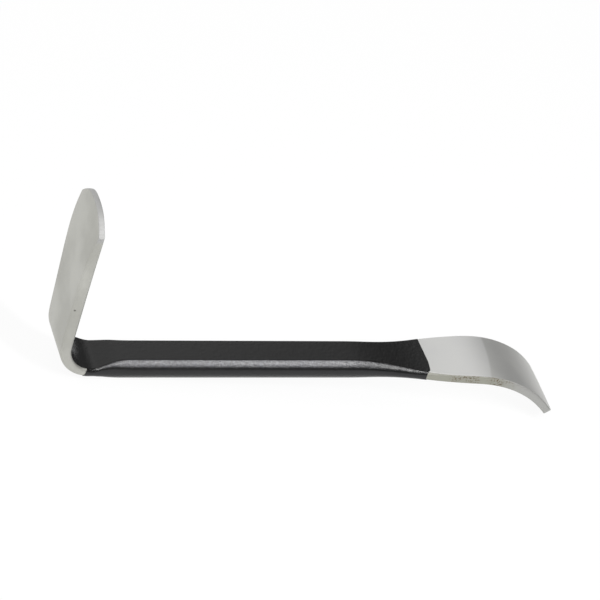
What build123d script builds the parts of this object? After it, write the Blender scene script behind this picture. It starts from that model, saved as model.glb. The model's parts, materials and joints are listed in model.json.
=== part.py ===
from build123d import *
import os
from math import asin, atan2, cos, degrees, radians, sin, tan

# Double-ended pry bar, forged in one piece from flat-sided bar stock.
#
# The bar is drawn in its own frame: X runs along the shank from the upright
# blade to the curved claw, Z is the shank's thickness and Y its width. The
# whole model is then set down as the bar lies on a bench, touching it with the
# heel of the shank and the tip of the claw, with the origin under the middle
# of its bounding box. All sizes are in millimetres.

# ---------------------------------------------------------------- sizes

# Shank: a flat bar with well rounded long edges.
shank_width = 21.9
shank_thickness = 11.6
shank_corner = 3.6
heel_x = -75.0            # left end of the full-thickness shank
shoulder_x = 44.0         # right end of the full-thickness shank

# Root: the stretch where the shank is drawn out thin before the bend. Each
# station is how much of the change from the shank is done, part way along.
root_length = 17.5
root_stations = [(0.25, 0.16), (0.5, 0.5), (0.75, 0.84)]
root_width = 27.6
root_thickness = 4.0
root_rise = 0.9           # the root's middle is this far above the shank's

# Bend and upright blade.
bend_radius = 19.0        # to the middle of the blade's thickness
blade_lean = 1.4          # degrees from upright, towards the claw
blade_length = 83.3       # straight stretch, from the bend to the tip
blade_root_width = 31.0
blade_mid_width = 35.9
blade_tip_width = 38.5
blade_thickness = 6.1
blade_tip_thickness = 2.3
blade_crown = 10.4        # how far the rounded end stands past its corners
blade_corner = 2.2

# Neck: the shank spreads out flat into the claw. Each station is a distance
# along the neck, a width, a thickness and a corner radius.
neck_length = 70.6
neck_stations = [
    (0.10, 21.9, 11.3, 3.5),
    (0.30, 22.5, 8.8, 2.9),
    (0.54, 26.9, 5.3, 1.5),
    (0.76, 31.2, 4.9, 1.0),
]

# Claw: bent down in one arc, wide and rounded at its end.
claw_width = 33.8
claw_thickness = 5.3
claw_radius = 55.9        # to the middle of the claw's thickness
claw_turn = 61.5          # degrees
claw_tip_width = 37.2
claw_tip_thickness = 4.2
claw_crown = 11.8
claw_corner = 2.2

# Edges of both working ends are broken by grinding.
edge_break = 0.8

# Black coating, left on the shank and in the hollow of the bend where the
# grinding of the two ends stops. Turns are degrees round the bend.
coat_thickness = 0.25
coat_right_x = 87.0
coat_flank_turn = 18.0    # on the flanks and the outside of the bend
coat_hollow_turn = 70.0   # on the inside of the bend

# Room that a cutting shape has around the piece that it trims.
margin = 20.0

# ------------------------------------------------- places on the side view

root_x = heel_x - root_length
claw_x = shoulder_x + neck_length

outer_bend_radius = bend_radius + blade_thickness / 2
inner_bend_radius = bend_radius - blade_thickness / 2
root_under = root_rise - root_thickness / 2
root_top = root_rise + root_thickness / 2

blade_up = Vector(sin(radians(blade_lean)), cos(radians(blade_lean)))
blade_out = Vector(-blade_up.Y, blade_up.X)

claw_end_angle = radians(claw_turn)
claw_along = Vector(cos(claw_end_angle), -sin(claw_end_angle))
claw_out = Vector(sin(claw_end_angle), cos(claw_end_angle))
claw_tip = Vector(
    claw_x + claw_radius * sin(claw_end_angle),
    -claw_radius * (1 - cos(claw_end_angle)),
)
claw_tip_outer = claw_tip + claw_out * (claw_tip_thickness / 2)
claw_tip_under = claw_tip - claw_out * (claw_tip_thickness / 2)

# Middles of the small rounds on the two corners of the claw's tip.
outer_round = claw_tip_outer - (claw_out + claw_along) * edge_break
under_round = claw_tip_under + (claw_out - claw_along) * edge_break

# The bar rests on the round under the claw's tip and on whichever point of the
# underside comes down first: the coated heel of the shank or the bend's bottom.
heel_points = [
    Vector(heel_x, -shank_thickness / 2 - coat_thickness),
    Vector(root_x, root_under),
]
rest_tilt = min(
    atan2(point.Y - under_round.Y, under_round.X - point.X)
    + asin(edge_break / (point - under_round).length)
    for point in heel_points
)


# ------------------------------------------------------------- side views


def blade_side_view(plane, extra=0.0):
    """Bend and blade seen from the side, with the bend moved out by extra."""
    with BuildSketch(plane) as view:
        with BuildLine():
            outer_bend = JernArc(
                (root_x, root_under - extra),
                (-1, 0),
                outer_bend_radius + extra,
                -(90 + blade_lean),
            )
            half_blade = blade_up * (blade_length / 2)
            outer_flat = Line(outer_bend @ 1, outer_bend @ 1 + half_blade)
            inner_bend = JernArc(
                (root_x, root_top + extra),
                (-1, 0),
                inner_bend_radius - extra,
                -(90 + blade_lean),
            )
            inner_face = Line(inner_bend @ 1, inner_bend @ 1 + blade_up * blade_length)
            tip = Line(inner_face @ 1, inner_face @ 1 + blade_out * blade_tip_thickness)
            TangentArc(outer_flat @ 1, tip @ 1, tangent=blade_up)
            Line(outer_bend @ 0, inner_bend @ 0)
        make_face()
    return view.sketch


def claw_side_view(plane):
    """Claw seen from the side."""
    with BuildSketch(plane) as view:
        with BuildLine():
            start = Line((claw_x, -claw_thickness / 2), (claw_x, claw_thickness / 2))
            TangentArc(start @ 1, claw_tip_outer, tangent=(1, 0))
            Line(claw_tip_outer, claw_tip_under)
            TangentArc(start @ 0, claw_tip_under, tangent=(1, 0))
        make_face()
    return view.sketch


# Turned to its resting tilt, the bar reaches from the back of the blade to the
# outer round of the claw's tip. It is set down on Z = 0 with X = 0 midway.
rested_blade = blade_side_view(Plane.XZ).rotate(Axis.Y, -degrees(rest_tilt))
reach_left = rested_blade.bounding_box().min.X
reach_right = (
    outer_round.X * cos(rest_tilt) - outer_round.Y * sin(rest_tilt) + edge_break
)
depth = under_round.X * sin(rest_tilt) + under_round.Y * cos(rest_tilt) - edge_break

bar = Plane(
    origin=(-(reach_left + reach_right) / 2, 0, -depth),
    x_dir=(cos(rest_tilt), 0, sin(rest_tilt)),
    z_dir=(-sin(rest_tilt), 0, cos(rest_tilt)),
)
side = Plane(origin=bar.origin, x_dir=bar.x_dir, z_dir=(0, -1, 0))


def across(x, z=0.0):
    """Plane square to the shank at x, with its own X along the width."""
    return Plane(
        origin=bar.from_local_coords(Vector(x, 0, z)),
        x_dir=(0, 1, 0),
        z_dir=bar.x_dir,
    )


def section(x, width, thickness, corner, z=0.0):
    """Rounded cross-section of the bar at x."""
    with BuildSketch(across(x, z)) as view:
        RectangleRounded(width, thickness, corner)
    return view.sketch


def middle_sections(extra):
    """Sections of the root and of the neck, moved out by extra all round."""

    def grown(x, width, thickness, corner, z=0.0):
        return section(x, width + 2 * extra, thickness + 2 * extra, corner + extra, z)

    root = [grown(heel_x, shank_width, shank_thickness, shank_corner)]
    for share, change in root_stations + [(1, 1)]:
        root.append(
            grown(
                heel_x - share * root_length,
                shank_width + change * (root_width - shank_width),
                shank_thickness + change * (root_thickness - shank_thickness),
                shank_corner + change * (edge_break - shank_corner),
                change * root_rise,
            )
        )

    neck = [grown(shoulder_x, shank_width, shank_thickness, shank_corner)]
    for share, width, thickness, corner in neck_stations:
        neck.append(grown(shoulder_x + share * neck_length, width, thickness, corner))
    neck.append(grown(claw_x, claw_width, claw_thickness, edge_break))
    return root, neck


def broken_edges(part, joint_plane):
    """Outline edges of the two broad faces, without those on the joint."""
    broad = part.faces().sort_by(SortBy.AREA)[-2:]
    return [
        edge
        for edge in broad.edges()
        if abs(joint_plane.to_local_coords(edge.center()).Z) > edge_break
    ]


# ------------------------------------------------------ bend and blade

blade_joint = across(root_x)
bend_top_z = root_top + inner_bend_radius
blade_tip_z = bend_top_z + blade_length * cos(radians(blade_lean))
blade_shoulder_z = blade_tip_z - blade_crown            # where the rounded end starts



def blade_blank(extra):
    """Bend and blade, with every surface of the bend moved out by extra."""
    with BuildPart() as blank:
        extrude(blade_side_view(side, extra), amount=blade_tip_width, both=True)
        with BuildSketch(blade_joint) as front_view:
            with BuildLine():
                base = Line((0, -margin), (root_width / 2 + extra, -margin))
                foot = Line(base @ 1, (root_width / 2 + extra, root_top))
                flank = Spline(
                    foot @ 1,
                    (blade_root_width / 2 + extra, bend_top_z),
                    (blade_mid_width / 2 + extra, bend_top_z + blade_length / 2),
                    (blade_tip_width / 2 + extra, blade_shoulder_z),
                )
                TangentArc((0, blade_tip_z), flank @ 1, tangent=(1, 0))
                mirror(about=Plane.YZ)
            make_face()
            fillet(front_view.vertices().group_by(Axis.Y)[-2], blade_corner)
        extrude(amount=-(outer_bend_radius + blade_length), mode=Mode.INTERSECT)
        fillet(broken_edges(blank, blade_joint), edge_break + extra)
    return blank.part


# ----------------------------------------------------------------- claw

claw_joint = across(claw_x)
tip_plane = Plane(
    origin=side.from_local_coords(claw_tip),
    x_dir=side.from_local_coords(claw_tip + claw_along)
    - side.from_local_coords(claw_tip),
    z_dir=side.from_local_coords(claw_tip + claw_out)
    - side.from_local_coords(claw_tip),
)
# Along the claw, its rounded end starts where its flanks are widest.
claw_shoulder_angle = claw_end_angle - claw_crown / claw_radius
claw_shoulder_x = claw_x + claw_radius * sin(claw_shoulder_angle)
claw_cut = margin + claw_crown + 2 * claw_corner

with BuildPart() as claw_end:
    extrude(claw_side_view(side), amount=claw_tip_width, both=True)

    with BuildSketch(bar):
        with BuildLine():
            start = Line((claw_x, 0), (claw_x, claw_width / 2))
            flank = Line(start @ 1, (claw_shoulder_x, claw_tip_width / 2))
            beyond = Line(flank @ 1, (claw_tip_outer.X, claw_tip_width / 2))
            Line(beyond @ 1, (claw_tip_outer.X, 0))
            mirror(about=Plane.XZ)
        make_face()
    extrude(amount=claw_radius + margin, both=True, mode=Mode.INTERSECT)

    # The end is cut round, square to the claw's tip.
    with BuildSketch(tip_plane) as off_cut:
        with Locations((margin - claw_cut / 2, 0)):
            Rectangle(claw_cut, claw_tip_width + margin)
        with BuildSketch(tip_plane, mode=Mode.SUBTRACT) as round_end:
            with BuildLine():
                back = Line((-claw_cut, 0), (-claw_cut, claw_tip_width / 2))
                flank = Line(back @ 1, (-claw_crown, claw_tip_width / 2))
                TangentArc((0, 0), flank @ 1, tangent=(0, 1))
                mirror(about=Plane.XZ)
            make_face()
            fillet(round_end.vertices().group_by(Axis.X)[-2], claw_corner)
    extrude(amount=claw_radius, both=True, mode=Mode.SUBTRACT)
    fillet(broken_edges(claw_end, claw_joint), edge_break)

# ------------------------------------------------------------ the pieces

with BuildPart() as steel_bar:
    root, neck = middle_sections(0)
    loft(root)
    extrude(root[0], amount=shoulder_x - heel_x)
    loft(neck)
    add(blade_blank(0))
    add(claw_end.part)

# The coating runs into the bend: a little way all round it, and further up its
# hollow, where the grinding does not reach.
bend_middle = Vector(root_x, bend_top_z)
coat_reach = outer_bend_radius + margin

with BuildPart() as bend_coat:
    add(blade_blank(coat_thickness))
    with BuildSketch(side):
        with BuildLine():
            hollow = CenterArc(bend_middle, inner_bend_radius, -90, -coat_hollow_turn)
            Polyline(hollow @ 1, bend_middle, hollow @ 0)
        make_face()
        with BuildLine():
            below = bend_middle + Vector(0, -coat_reach)
            across_below = Vector(-coat_reach * tan(radians(coat_flank_turn)), 0)
            Polyline(bend_middle, below, below + across_below, close=True)
        make_face()
    extrude(amount=blade_tip_width, both=True, mode=Mode.INTERSECT)

with BuildPart() as shank_coating:
    root, neck = middle_sections(coat_thickness)
    loft(root)
    extrude(root[0], amount=shoulder_x - heel_x)
    loft(neck)
    split(bisect_by=across(coat_right_x), keep=Keep.BOTTOM)
    add(bend_coat.part)
    add(steel_bar.part, mode=Mode.SUBTRACT)

# ---------------------------------------------------------------- export

os.makedirs("parts", exist_ok=True)

steel_bar.part.label = "steel_bar"
export_step(steel_bar.part, "parts/steel_bar.step")

shank_coating.part.label = "shank_coating"
export_step(shank_coating.part, "parts/shank_coating.step")
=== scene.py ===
import bmesh
import bpy
import json
from math import asin, cos, degrees, pi, radians, sin, sqrt
from mathutils import Matrix, Vector


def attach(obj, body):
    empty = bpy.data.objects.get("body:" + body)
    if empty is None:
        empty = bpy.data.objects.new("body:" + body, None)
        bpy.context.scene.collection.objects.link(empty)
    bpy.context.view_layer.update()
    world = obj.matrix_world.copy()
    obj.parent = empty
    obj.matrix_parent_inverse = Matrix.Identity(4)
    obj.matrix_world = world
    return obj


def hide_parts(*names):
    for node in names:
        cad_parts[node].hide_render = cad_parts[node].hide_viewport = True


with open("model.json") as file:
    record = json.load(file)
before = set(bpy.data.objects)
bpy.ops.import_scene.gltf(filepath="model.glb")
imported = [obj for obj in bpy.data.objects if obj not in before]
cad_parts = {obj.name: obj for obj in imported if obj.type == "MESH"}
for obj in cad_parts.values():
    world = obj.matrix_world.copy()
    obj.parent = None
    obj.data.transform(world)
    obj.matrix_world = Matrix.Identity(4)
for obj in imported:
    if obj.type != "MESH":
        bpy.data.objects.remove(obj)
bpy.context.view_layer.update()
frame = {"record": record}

MM = 0.001
STEEL = "steel_bar"
COAT = "shank_coating"

# ------------------------------------------------------------------ sizes
# The bar's own frame has X along the shank from blade to claw, Y across the
# width and Z through the thickness. Sizes are in millimetres.

SHANK_WIDTH = 21.9
SHANK_THICKNESS = 11.6
SHANK_CORNER = 3.4
HEEL_X = -75.0
SHOULDER_X = 44.0

ROOT_X = -92.5
ROOT_THICKNESS = 4.6
ROOT_TOP = 2.9

HOLLOW_RADIUS = 15.95        # inside of the bend
BLADE_LEAN = 1.4             # degrees past square
BLADE_LENGTH = 83.3
BLADE_THICKNESS = 6.1
BLADE_TIP_THICKNESS = 3.1
BLADE_CROWN = 10.4
# Widths are pairs of a length from the start of the stretch and a width there.
BLADE_WIDTHS = [(0, 31.0), (41.6, 35.9), (72.9, 38.5), (83.3, 38.9)]

CLAW_X = 114.6
CLAW_RADIUS = 55.9
CLAW_TURN = 61.5             # degrees
CLAW_THICKNESS = 5.3
CLAW_TIP_THICKNESS = 4.2
CLAW_CROWN = 11.8
CLAW_WIDTHS = [(0, 33.8), (48.0, 37.2), (60.0, 37.6)]

BLADE_EDGE = 1.2             # rounding of the ground edges
TIP_EDGE = 0.35
CLAW_EDGE = 0.55
COAT_THICKNESS = 0.25
# The ground line at the claw is hand-made, so four planes that lean a little
# trim the coat there: a point's x and y, and the lean of the plane towards y.
COAT_CUTS = [(88.2, 0, 0.03), (88.0, -8.0, -0.12), (88.1, 10.0, 0.1), (86.6, -12.6, -0.9)]
COAT_FLANK_TURN = 18.0       # how far round the bend the coat goes outside
COAT_HOLLOW_TURN = 70.0      # and inside, in degrees
HOLLOW_FACING = 0.72         # a face that turns this much to the hollow keeps its coat

# ---------------------------------------------------------- resting place
# The flat underside of the coated shank gives the tilt and place of the bar.

mount = next(m for m in frame["record"]["mounts"] if m["name"] == "shank_underside")
TILT = asin(mount["axis"][0])
TURN = Matrix.Rotation(-TILT, 4, "Y")
UNDERSIDE = Vector(((HEEL_X + SHOULDER_X) / 2, 0, -SHANK_THICKNESS / 2 - COAT_THICKNESS))
PLACE = Vector(mount["pos_m"]) - TURN @ (UNDERSIDE * MM)


def rested(direction):
    """A direction in the bar's own frame, turned to the resting pose."""
    return (TURN @ Vector(direction)).normalized()


# ------------------------------------------------------------ edit helpers


def start_alone():
    """Leaves nothing selected, so that an operator touches only the new piece."""
    if bpy.context.object and bpy.context.object.mode == "EDIT":
        bpy.ops.object.mode_set(mode="OBJECT")
    bpy.ops.object.select_all(action="DESELECT")


def pick(piece, chosen):
    """Selects the vertices that chosen() accepts, and the faces between them."""
    bpy.ops.mesh.select_all(action="DESELECT")
    mesh = bmesh.from_edit_mesh(piece.data)
    for vertex in mesh.verts:
        if chosen(vertex.co):
            vertex.select = True
    mesh.select_flush(True)
    bmesh.update_edit_mesh(piece.data)


def cut(piece, point, normal, clear=False):
    """Cuts the whole piece by a plane, and drops what lies on the normal's side."""
    bpy.ops.mesh.select_all(action="SELECT")
    bpy.ops.mesh.bisect(plane_co=point, plane_no=normal, clear_outer=clear, threshold=1e-7)


def between(stations, place):
    """Value at a place, in straight lines between (place, value) stations."""
    for (x0, y0), (x1, y1) in zip(stations, stations[1:]):
        if place <= x1:
            return y0 + (y1 - y0) * (place - x0) / (x1 - x0)
    return stations[-1][1]


# ------------------------------------------------------- the straight blank
# A ring of the blank is a rectangle with its corners cut, and three more lines
# along each half of both broad faces. Its shape is a width, a thickness, how
# much its corners are cut, and the height of its middle.

CROWN_ZONE = 30.0            # how far back a rounded end bends the lines
EDGE_LINE = 0.55             # a line this far inside the cut corner keeps it crisp


class Ring:
    """One cross-section of the blank."""

    def __init__(self, x, width, thickness, corner, middle=0.0):
        self.x = x
        self.width = width
        self.thickness = thickness
        self.corner = min(corner, 0.3 * thickness)
        self.middle = middle

    def lines(self):
        """Where the lines of a broad face lie across half the width."""
        flat = self.width / 2 - self.corner
        inner = flat - EDGE_LINE
        return (inner * 0.36, inner * 0.7, inner, flat)

    def side(self):
        """Half height of the flat flank between two cut corners."""
        return self.thickness / 2 - self.corner


def shank_rings():
    """Equal rings from the heel to the shoulder."""
    count = 11
    step = (SHOULDER_X - HEEL_X) / count
    return [
        Ring(HEEL_X + step * i, SHANK_WIDTH, SHANK_THICKNESS, SHANK_CORNER)
        for i in range(count + 1)
    ]


def root_rings():
    """From the heel to the bend: drawn out thin, and only then spread wide."""
    # Place along the bar, width, thickness, cut corner and height of the top.
    stations = (
        (-78.5, 21.9, 11.3, 3.1, 5.75),
        (-82.0, 22.0, 10.2, 2.5, 5.4),
        (-85.5, 22.3, 8.5, 1.9, 4.6),
        (-88.5, 22.9, 6.7, 1.5, 3.8),
        (-90.7, 23.6, 5.6, 1.2, 3.2),
    )
    return [Ring(x, wide, thick, corner, top - thick / 2) for x, wide, thick, corner, top in stations]


BEND_STEPS = 8
# Pairs of an angle round the bend, in degrees, and a width there.
BEND_WIDTHS = [(0, 24.4), (20, 26.9), (45, 29.1), (70, 30.4), (92, 31.3)]
BEND_TURN = radians(90 + BLADE_LEAN)
BEND_LENGTH = HOLLOW_RADIUS * BEND_TURN
# Rings stand closer towards a tip, as shares of the stretch's length.
BLADE_SHARES = (0.12, 0.26, 0.4, 0.54, 0.66, 0.76, 0.85, 0.92, 0.97, 0.992, 1.0)
CLAW_SHARES = (0.0, 0.13, 0.26, 0.39, 0.52, 0.64, 0.75, 0.85, 0.92, 0.97, 0.99, 1.0)


def bend_rings():
    """The stretch that is bent to a corner, still straight here."""
    rings = []
    for i in range(BEND_STEPS + 1):
        turn = BEND_TURN * i / BEND_STEPS
        grown = 1 - cos(turn)
        thickness = ROOT_THICKNESS + (BLADE_THICKNESS - ROOT_THICKNESS) * grown
        width = between(BEND_WIDTHS, degrees(turn))
        x = ROOT_X - BEND_LENGTH * i / BEND_STEPS
        rings.append(Ring(x, width, thickness, BLADE_EDGE, ROOT_TOP - thickness / 2))
    return rings


def blade_rings():
    """The blade, thinned on its outer face over the half towards its tip."""
    rings = []
    half = BLADE_LENGTH / 2
    for share in BLADE_SHARES:
        along = share * BLADE_LENGTH
        past = max(0.0, along - half) / half
        thickness = BLADE_THICKNESS - (BLADE_THICKNESS - BLADE_TIP_THICKNESS) * past**2
        x = ROOT_X - BEND_LENGTH - along
        edge = between([(0, BLADE_EDGE), (half, BLADE_EDGE), (BLADE_LENGTH, TIP_EDGE)], along)
        rings.append(
            Ring(x, between(BLADE_WIDTHS, along), thickness, edge, ROOT_TOP - thickness / 2)
        )
    return rings


def neck_rings():
    """From the shank to the claw: thinner and wider."""
    # Place along the bar, width, thickness and cut corner.
    stations = (
        (50.0, 21.9, 11.35, 3.3),
        (57.0, 22.0, 10.3, 3.2),
        (65.0, 22.6, 8.7, 2.8),
        (73.5, 24.5, 6.7, 2.2),
        (82.0, 27.0, 5.3, 1.4),
        (90.0, 29.4, 4.95, 0.8),
        (98.0, 31.3, 4.9, 0.6),
        (106.5, 32.8, 5.1, 0.55),
    )
    return [Ring(*station) for station in stations]


def claw_rings():
    """The claw, still straight here, a little wider and thinner at its tip."""
    rings = []
    length = CLAW_RADIUS * radians(CLAW_TURN)
    for share in CLAW_SHARES:
        along = share * length
        rings.append(
            Ring(
                CLAW_X + along,
                between(CLAW_WIDTHS, along),
                between([(0, CLAW_THICKNESS), (length, CLAW_TIP_THICKNESS)], along),
                CLAW_EDGE,
            )
        )
    return rings


def draw_on(piece, ring, last):
    """Extrudes the open end on by one ring and gives that ring its shape."""
    end = last.x
    pick(piece, lambda co: abs(co.x - end * MM) < 1e-6)
    step = Vector((ring.x - last.x, 0, ring.middle - last.middle)) * MM
    bpy.ops.mesh.extrude_region_move(TRANSFORM_OT_translate={"value": step})
    shape_ring(piece, ring, last)


def shape_ring(piece, ring, last):
    """Moves each point of the end ring from the last ring's shape to its own."""
    mesh = bmesh.from_edit_mesh(piece.data)
    for vertex in mesh.verts:
        if abs(vertex.co.x - ring.x * MM) > 1e-6:
            continue
        across = abs(vertex.co.y) / MM
        up = vertex.co.z / MM - ring.middle
        if abs(up) < last.thickness / 2 - 1e-3:
            new_y, new_z = ring.width / 2, ring.side()
        else:
            line = min(range(4), key=lambda i: abs(last.lines()[i] - across))
            new_y, new_z = ring.lines()[line], ring.thickness / 2
        vertex.co.y = new_y * MM * (1 if vertex.co.y > 0 else -1)
        vertex.co.z = (ring.middle + new_z * (1 if up > 0 else -1)) * MM
    bmesh.update_edit_mesh(piece.data)


def crown(piece, tip_x, rise, half_width):
    """Draws an end round: what lies to the side of the middle goes back."""
    inward = -1 if tip_x > 0 else 1
    radius = (half_width**2 + rise**2) / (2 * rise)
    mesh = bmesh.from_edit_mesh(piece.data)
    for vertex in mesh.verts:
        share = 1 - abs(tip_x - vertex.co.x / MM) / CROWN_ZONE
        if share > 0:
            across = min(abs(vertex.co.y) / MM, half_width)
            back = radius - sqrt(radius**2 - across**2)
            vertex.co.x += inward * back * share * MM
    bmesh.update_edit_mesh(piece.data)


def bend(piece, start_x, way, reference_z, radius, turn):
    """Bends all that lies beyond start_x round an arc of that radius.

    The arc's middle is a radius above the reference height, or below it where
    the radius is negative."""
    middle = Vector((start_x, 0, reference_z + radius)) * MM
    length = abs(radius) * turn
    mesh = bmesh.from_edit_mesh(piece.data)
    for vertex in mesh.verts:
        run = way * (vertex.co.x / MM - start_x)
        if run > 0:
            arc = min(run, length)
            straight = vertex.co - Vector((way * arc * MM, 0, 0))
            turned = Matrix.Rotation(arc / abs(radius), 4, "Y")
            vertex.co = middle + turned @ (straight - middle)
    bmesh.update_edit_mesh(piece.data)


def straight_blank():
    """The bar before it is bent, from blade tip to claw tip."""
    rings = shank_rings()
    first, second = rings[0], rings[1]
    start_alone()
    bpy.ops.mesh.primitive_cube_add(
        size=1,
        location=((first.x + second.x) / 2 * MM, 0, 0),
        scale=((second.x - first.x) * MM, first.width * MM, first.thickness * MM),
    )
    blank = bpy.context.object
    bpy.ops.object.transform_apply(location=True, rotation=True, scale=True)
    bpy.ops.object.mode_set(mode="EDIT")
    bpy.ops.mesh.select_mode(type="EDGE")

    bpy.ops.mesh.select_all(action="DESELECT")
    mesh = bmesh.from_edit_mesh(blank.data)
    for edge in mesh.edges:
        if abs(edge.verts[0].co.x - edge.verts[1].co.x) > 1e-6:
            edge.select = True
    bmesh.update_edit_mesh(blank.data)
    bpy.ops.mesh.bevel(offset=first.corner * MM, segments=1, affect="EDGES")
    bpy.ops.mesh.select_mode(type="VERT")
    for line in first.lines()[:-1]:
        for hand in (-1, 1):
            cut(blank, (0, hand * line * MM, 0), (0, 1, 0))

    right = rings[1:] + neck_rings() + claw_rings()
    for last, ring in zip(right, right[1:]):
        draw_on(blank, ring, last)
    left = root_rings() + bend_rings() + blade_rings()
    for last, ring in zip([first] + left, left):
        draw_on(blank, ring, last)

    crown(blank, right[-1].x, CLAW_CROWN, CLAW_WIDTHS[-1][1] / 2)
    crown(blank, left[-1].x, BLADE_CROWN, BLADE_WIDTHS[-1][1] / 2)
    return blank


def set_down(piece):
    """Turns and moves a piece from the bar's own frame to its resting place."""
    start_alone()
    piece.select_set(True)
    bpy.context.view_layer.objects.active = piece
    piece.matrix_world = Matrix.Translation(PLACE) @ TURN
    bpy.ops.object.transform_apply(location=True, rotation=True, scale=True)


def add_modifier(piece, kind, **settings):
    """Adds a modifier with its settings and applies it."""
    bpy.context.view_layer.objects.active = piece
    modifier = piece.modifiers.new(kind.lower(), kind)
    for name, value in settings.items():
        setattr(modifier, name, value)
    bpy.ops.object.modifier_apply(modifier=modifier.name)


def forged_bar():
    """The whole steel bar: blank, bent at both ends and smoothed."""
    bar = straight_blank()
    bend(bar, ROOT_X, -1, ROOT_TOP, HOLLOW_RADIUS, BEND_TURN)
    bend(bar, CLAW_X, 1, 0, -CLAW_RADIUS, radians(CLAW_TURN))
    bpy.ops.mesh.select_all(action="SELECT")
    bpy.ops.mesh.normals_make_consistent(inside=False)
    bpy.ops.object.mode_set(mode="OBJECT")
    add_modifier(bar, "SUBSURF", levels=3, render_levels=3)
    bar.name = "forged_bar"
    return bar


def coating(bar):
    """The black skin: a copy of the bar's surface, cut to the ground lines."""
    start_alone()
    skin = bar.copy()
    skin.data = bar.data.copy()
    bpy.context.scene.collection.objects.link(skin)
    bpy.context.view_layer.objects.active = skin
    skin.select_set(True)
    bpy.ops.object.mode_set(mode="EDIT")
    for x, y, lean in COAT_CUTS:
        cut(skin, (x * MM, y * MM, 0), (1, lean, 0), clear=True)

    middle = Vector((ROOT_X, 0, ROOT_TOP + HOLLOW_RADIUS)) * MM
    for turn, clear in ((COAT_HOLLOW_TURN, True), (COAT_FLANK_TURN, False)):
        angle = radians(turn)
        cut(skin, middle, (-cos(angle), 0, sin(angle)), clear=clear)

    # Beyond the flank's line only the hollow of the bend keeps its coat.
    line = radians(COAT_FLANK_TURN)
    past = Vector((-cos(line), 0, sin(line)))

    def is_ground(face):
        outward = face.calc_center_median() - middle
        beyond = outward.dot(past) > 0 and face.calc_center_median().x < ROOT_X * MM
        to_hollow = face.normal.dot(-outward.normalized()) >= HOLLOW_FACING
        return (beyond and not to_hollow) or outward.z > 0

    mesh = bmesh.from_edit_mesh(skin.data)
    ground = [face for face in mesh.faces if is_ground(face)]
    bmesh.ops.delete(mesh, geom=ground, context="FACES")
    bmesh.ops.remove_doubles(mesh, verts=mesh.verts, dist=0.02 * MM)
    bmesh.update_edit_mesh(skin.data)
    bpy.ops.object.mode_set(mode="OBJECT")
    add_modifier(skin, "SOLIDIFY", thickness=COAT_THICKNESS * MM, offset=1)
    skin.name = "black_coating"
    return skin


# -------------------------------------------------------------- materials


def wire(tree, socket, value):
    """Links a Socket to a node's socket, or sets a plain value on it."""
    if isinstance(value, Socket):
        tree.links.new(value.link, socket)
    else:
        socket.default_value = value


def add_node(tree, kind, settings=None, inputs=None):
    """Adds a node, with its settings by name and its inputs by name or number."""
    node = tree.nodes.new(kind)
    for name, value in (settings or {}).items():
        setattr(node, name, value)
    for key, value in (inputs or {}).items():
        wire(tree, node.inputs[key], value)
    return node


def three_parts(tree, vector):
    """The x, y and z of a vector, each as a Socket."""
    split = add_node(tree, "ShaderNodeSeparateXYZ", inputs={0: vector})
    return [Socket(tree, out) for out in split.outputs]


class Socket:
    """A shader value, so that maths on values adds the nodes that work it out."""

    def __init__(self, tree, link):
        self.tree = tree
        self.link = link

    def maths(self, operation, other):
        settings = {"operation": operation}
        node = add_node(self.tree, "ShaderNodeMath", settings, {0: self, 1: other})
        return Socket(self.tree, node.outputs[0])

    def __add__(self, other):
        return self.maths("ADD", other)

    def __radd__(self, other):
        return self.maths("ADD", other)

    def __mul__(self, other):
        return self.maths("MULTIPLY", other)

    def __rmul__(self, other):
        return self.maths("MULTIPLY", other)

    def __sub__(self, other):
        return self.maths("SUBTRACT", other)

    def __rsub__(self, other):
        return (self * -1) + other

    def step(self, low, high):
        """0 below low, 1 above high, and a smooth rise between."""
        settings = {"interpolation_type": "SMOOTHSTEP"}
        inputs = {"Value": self, "From Min": low, "From Max": high}
        node = add_node(self.tree, "ShaderNodeMapRange", settings, inputs)
        return Socket(self.tree, node.outputs["Result"])


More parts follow.
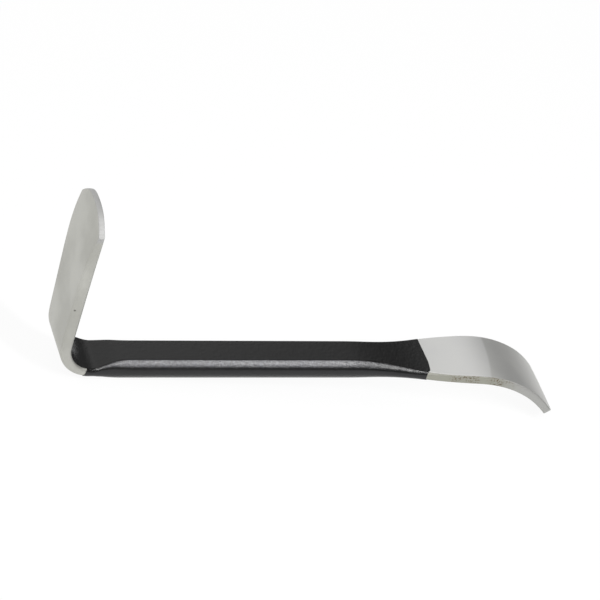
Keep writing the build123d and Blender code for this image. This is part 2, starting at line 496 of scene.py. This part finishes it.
class Finish:
    """A material under construction, with the bar's own frame as its rulers."""

    def __init__(self, name, slot):
        self.material = bpy.data.materials.new(name)
        self.material.use_nodes = True
        self.tree = self.material.node_tree
        self.slot = slot
        self.shader = self.tree.nodes["Principled BSDF"]
        self.place = self.place_in_bar()
        self.x, self.y, self.z = three_parts(self.tree, self.place)
        self.facing = three_parts(self.tree, self.node("ShaderNodeNewGeometry", "True Normal"))
        self.sideways = self.facing[1] * self.facing[1]

    def node(self, kind, output, settings=None, **inputs):
        """Adds a node and returns one of its outputs."""
        named = {name.replace("_", " "): value for name, value in inputs.items()}
        return Socket(self.tree, add_node(self.tree, kind, settings, named).outputs[output])

    def place_in_bar(self):
        """Places in millimetres in the bar's own frame, from where it lies at rest."""
        resting = self.node("ShaderNodeTexCoord", "Object")
        undo = {"vector_type": "TEXTURE"}
        pose = {"Location": PLACE, "Rotation": (0, -TILT, 0)}
        straight = self.node("ShaderNodeMapping", "Vector", undo, Vector=resting, **pose)
        scale = {"operation": "SCALE"}
        return self.node("ShaderNodeVectorMath", "Vector", scale, Vector=straight, Scale=1 / MM)

    def stretched(self, scale):
        """Places scaled along each axis, so that a pattern runs along the bar."""
        point = {"vector_type": "POINT"}
        return self.node("ShaderNodeMapping", "Vector", point, Vector=self.place, Scale=scale)

    def noise(self, scale, detail, place=None, roughness=0.5):
        """Noise with that many waves to a millimetre."""
        look = {"Scale": scale, "Detail": detail, "Roughness": roughness}
        return self.node("ShaderNodeTexNoise", "Fac", Vector=place or self.place, **look)

    def mix(self, share, first, second):
        """The first colour where share is 0, the second where it is 1."""
        inputs = {"Factor": share, 6: first, 7: second}
        node = add_node(self.tree, "ShaderNodeMix", {"data_type": "RGBA"}, inputs)
        return Socket(self.tree, node.outputs[2])

    def bump(self, height, strength, distance):
        look = {"Strength": strength, "Distance": distance}
        return self.node("ShaderNodeBump", "Normal", Height=height, **look)

    def set(self, **values):
        """Sets the shader's own sockets, with _ for a space in their names."""
        for name, value in values.items():
            wire(self.tree, self.shader.inputs[name.replace("_", " ")], value)

    def put_on(self, piece):
        piece.data.materials.clear()
        piece.data.materials.append(self.material)


def grey(level, warm=0.0):
    """A near-neutral colour, warmer where warm is above 0."""
    return (level * (1 + warm * 0.4), level * (1 + warm * 0.35), level * (1 - warm), 1.0)


CLAW_SIDE_X = 60.0           # under the coat, so the change of tone isn't seen
REGROUND_X = 123.0           # the claw is reground from here to its tip
RUST_START_X = 95.0
RUST_END_X = 136.0
END_FACE_Z = 88.5            # the blade's end face lies above this height
# Where the painted dark reflection sits on the blade's flank, and its colour.
DARK_REFLECTION_X = -112.4
DARK_REFLECTION_Z = 45.4
RUST = (0.13, 0.075, 0.03, 1)
PAINTED_REFLECTION_DARK = (0.05, 0.045, 0.04, 1)


def ground_steel():
    """Satin ground steel: fine grinding lines, a darker reground claw, rust pits, a painted highlight
    on the blade's end face and a painted dark reflection on its flank.
    """
    steel = Finish("ground_steel", "ground_steel")
    sideways = steel.sideways

    # Broad tones: the blade, the bright top of the claw and its reground curve.
    claw = steel.x.step(CLAW_SIDE_X, CLAW_SIDE_X + 2)
    curve_line = steel.x - steel.y * 0.14 + steel.y * steel.y * 0.004
    reground = curve_line.step(REGROUND_X, REGROUND_X + 1.6)
    claw_tone = steel.mix(reground, grey(0.70, 0.01), grey(0.56, 0.02))
    tone = steel.mix(claw, grey(0.43, 0.06), claw_tone)
    clouds = steel.noise(0.035, 3.0).step(0.35, 0.65)
    colour = steel.mix(clouds * 0.7, tone, steel.mix(0.3, tone, grey(0.8, 0.04)))

    # The claw's flanks are warmer, and its chamfers are dulled near the coat.
    flank_tone = steel.mix(steel.x.step(118.0, 142.0), grey(0.29, 0.13), grey(0.38, 0.03))
    colour = steel.mix(sideways.step(0.55, 0.8) * claw * 0.9, colour, flank_tone)
    chamfer = sideways.step(0.06, 0.25) * (1 - sideways.step(0.6, 0.85)) * claw
    dulled = chamfer * (1 - steel.x.step(122.0, RUST_END_X) * 0.6)
    colour = steel.mix(dulled, colour, grey(0.24, 0.08))

    pits = steel.noise(1.1, 4.0, roughness=0.7).step(0.50, 0.60)
    patches = steel.noise(0.16, 2.0).step(0.35, 0.55)
    stretch = steel.x.step(RUST_START_X, RUST_START_X + 10)
    stretch = stretch * (1 - steel.x.step(RUST_END_X - 8, RUST_END_X))
    rust = pits * patches * stretch * sideways.step(0.1, 0.4)
    colour = steel.mix(rust * 0.9, colour, RUST)

    # The end face of the blade is ground last and coarser; it is also painted a little lighter, a
    # painted highlight where light catches the end.
    across = 1 - steel.facing[0] * steel.facing[0]
    end = across.step(0.3, 0.6) * steel.z.step(END_FACE_Z, END_FACE_Z + 2.5)
    colour = steel.mix(end * 0.8, colour, grey(0.48))

    # Painted reflection: a small dark spot on the near flank of the blade, below its bright corner,
    # where the steel mirrors something dark.
    along = steel.x - DARK_REFLECTION_X
    above = steel.z - DARK_REFLECTION_Z
    dark_reflection = 1 - (along * along + above * above).step(0.1, 0.5)
    dark_reflection = dark_reflection * (1 - steel.y.step(-12.0, -11.0))
    colour = steel.mix(dark_reflection * 0.7, colour, PAINTED_REFLECTION_DARK)

    grain = steel.noise(1.0, 2.0, steel.stretched((0.12, 3.0, 3.0)))
    fine = steel.noise(2.5, 2.0)
    steel.set(
        Base_Color=colour,
        Metallic=0.85,
        Roughness=0.46 + (grain - 0.5) * 0.22 + rust * 0.4 + end * 0.26 + chamfer * 0.2,
        Normal=steel.bump(grain * 0.7 + fine * 0.3 - rust * 1.5, 0.25, 0.00008),
    )
    return steel


def black_coat():
    """Semi-gloss black over a forged surface, a little uneven all over, with painted shade towards
    the claw, a painted reflection on the flanks and painted highlights along the upper edges.
    """
    coat = Finish("black_coat", "black_coat")
    sideways = coat.sideways
    lumps = coat.noise(0.6, 2.0)
    skin = coat.noise(1.6, 4.0, roughness=0.6)
    clouds = coat.noise(0.05, 2.0)

    # Painted shade: the black is darker towards the claw, where the neck's top turns away from the
    # light.
    black = coat.mix(coat.x.step(-90.0, 60.0), grey(0.008), grey(0.001, -0.05))
    # Painted reflection: the flanks are a little lighter, for the pale floor that they mirror.
    colour = coat.mix(sideways.step(0.8, 0.97), black, grey(0.016, -0.05))

    # Painted highlight: the rounded upper edges are painted lighter in speckles where the lamp's
    # highlight runs along them, least near the claw.
    rounded = sideways.step(0.15, 0.4) * (1 - sideways.step(0.6, 0.85))
    upper = coat.facing[2].step(0.3, 0.6)
    along = coat.x.step(-94.0, -78.0) * (1 - coat.x.step(36.0, 66.0) * 0.9)
    highlight_speckles = 0.45 + skin.step(0.38, 0.64) * 0.35 + lumps.step(0.42, 0.62) * 0.2
    colour = coat.mix(rounded * upper * along * highlight_speckles, colour, grey(0.115, -0.06))

    coat.set(
        Base_Color=colour,
        Roughness=0.2 + skin.step(0.62, 0.75) * 0.1 + (clouds - 0.5) * 0.08,
        IOR=1.36,
        Normal=coat.bump(lumps * 0.8 + skin * 0.5, 0.5, 0.0004),
    )
    return coat


# ------------------------------------------------------ floor, light, camera


FLOOR_SIZE = 8.0
FLOOR_TONE = 0.93
FLOOR_GLOW = 0.92            # how much of the floor that is seen is plain white
BOX_WAY = (0.33, -0.61, 0.72)
BOX_DISTANCE = 1.0
BOX_SIZE = (0.45, 0.12)
BOX_RADIANCE = 44.0


def floor():
    """Plain paper, shown nearly white to the camera and in reflections."""
    start_alone()
    bpy.ops.mesh.primitive_plane_add(size=FLOOR_SIZE, location=(0, 0, 0))
    ground = bpy.context.object
    ground.name = "floor"
    paper = bpy.data.materials.new("floor_paper")
    paper.use_nodes = True
    tree = paper.node_tree
    shader = tree.nodes["Principled BSDF"]
    shader.inputs["Base Color"].default_value = (FLOOR_TONE, FLOOR_TONE, FLOOR_TONE, 1)
    shader.inputs["Roughness"].default_value = 0.9
    shader.inputs["Specular IOR Level"].default_value = 0.1
    glow = add_node(tree, "ShaderNodeEmission")
    ray = add_node(tree, "ShaderNodeLightPath")
    seen = Socket(tree, ray.outputs["Is Camera Ray"]) + Socket(tree, ray.outputs["Is Glossy Ray"])
    sources = {0: seen * FLOOR_GLOW}
    sources[1] = Socket(tree, shader.outputs[0])
    sources[2] = Socket(tree, glow.outputs[0])
    blend = add_node(tree, "ShaderNodeMixShader", inputs=sources)
    tree.links.new(blend.outputs[0], tree.nodes["Material Output"].inputs["Surface"])
    ground.data.materials.append(paper)


def studio():
    """A pale surround, dimmer to the right and low in front."""
    world = bpy.data.worlds.new("studio")
    bpy.context.scene.world = world
    world.use_nodes = True
    tree = world.node_tree
    way = add_node(tree, "ShaderNodeTexCoord").outputs["Generated"]
    x, y, z = three_parts(tree, Socket(tree, way))
    low_front = (1 - z.step(0.1, 0.5)) * (1 - y.step(-0.5, 0.0))
    level = (0.95 - x.step(0.22, 0.5) * 0.78) * (1 - low_front * 0.65)
    back = tree.nodes["Background"]
    back.inputs["Color"].default_value = (1, 1, 1, 1)
    wire(tree, back.inputs["Strength"], level)


def soft_box():
    """One long lamp, in front and above, that lights up the shank's upper edge."""
    lamp = bpy.data.lights.new("soft_box", "AREA")
    lamp.shape = "RECTANGLE"
    lamp.size, lamp.size_y = BOX_SIZE
    lamp.energy = BOX_RADIANCE * pi * BOX_SIZE[0] * BOX_SIZE[1]
    box = bpy.data.objects.new("soft_box", lamp)
    bpy.context.scene.collection.objects.link(box)
    way = rested(BOX_WAY)
    box.location = PLACE + way * BOX_DISTANCE
    box.rotation_euler = way.to_track_quat("Z", "X").to_euler()


VIEW_TURN = radians(24.37)
VIEW_RISE = radians(37.88)
VIEW_ROLL = radians(15.65)
VIEW_DISTANCE = 1.757        # metres, as are the two aims
VIEW_LENS = 205.9
AIM_RIGHT = 0.01855          # from the middle of the shank to the aimed point
AIM_UP = 0.03031


def camera():
    """A long lens, turned, raised and rolled against the bar's own frame."""
    right = Vector((cos(VIEW_TURN), -sin(VIEW_TURN), 0))
    level = Vector((sin(VIEW_TURN), cos(VIEW_TURN), 0))
    ahead = level * cos(VIEW_RISE) - Vector((0, 0, sin(VIEW_RISE)))
    above = right.cross(ahead)
    side = right * cos(VIEW_ROLL) + above * sin(VIEW_ROLL)
    up = above * cos(VIEW_ROLL) - right * sin(VIEW_ROLL)
    place = PLACE - rested(ahead) * VIEW_DISTANCE
    aim = PLACE + rested(side) * AIM_RIGHT + rested(up) * AIM_UP
    back = (place - aim).normalized()
    x_axis = rested(up).cross(back).normalized()
    y_axis = back.cross(x_axis)
    data = bpy.data.cameras.new("camera")
    data.lens = VIEW_LENS
    data.clip_start, data.clip_end = 0.05, 20
    eye = bpy.data.objects.new("camera", data)
    bpy.context.scene.collection.objects.link(eye)
    axes = Matrix((x_axis, y_axis, back)).transposed().to_4x4()
    eye.matrix_world = Matrix.Translation(place) @ axes
    bpy.context.scene.camera = eye


# ------------------------------------------------------------------- scene

SHARP = radians(40)          # edges that turn more than this stay sharp

bar = forged_bar()
skin = coating(bar)
for piece, node, finish in ((bar, STEEL, ground_steel()), (skin, COAT, black_coat())):
    set_down(piece)
    bpy.ops.object.shade_smooth_by_angle(angle=SHARP)
    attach(piece, "root")
    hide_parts(node)
    finish.put_on(piece)

floor()
studio()
soft_box()
camera()
bpy.context.scene.view_settings.view_transform = "Standard"
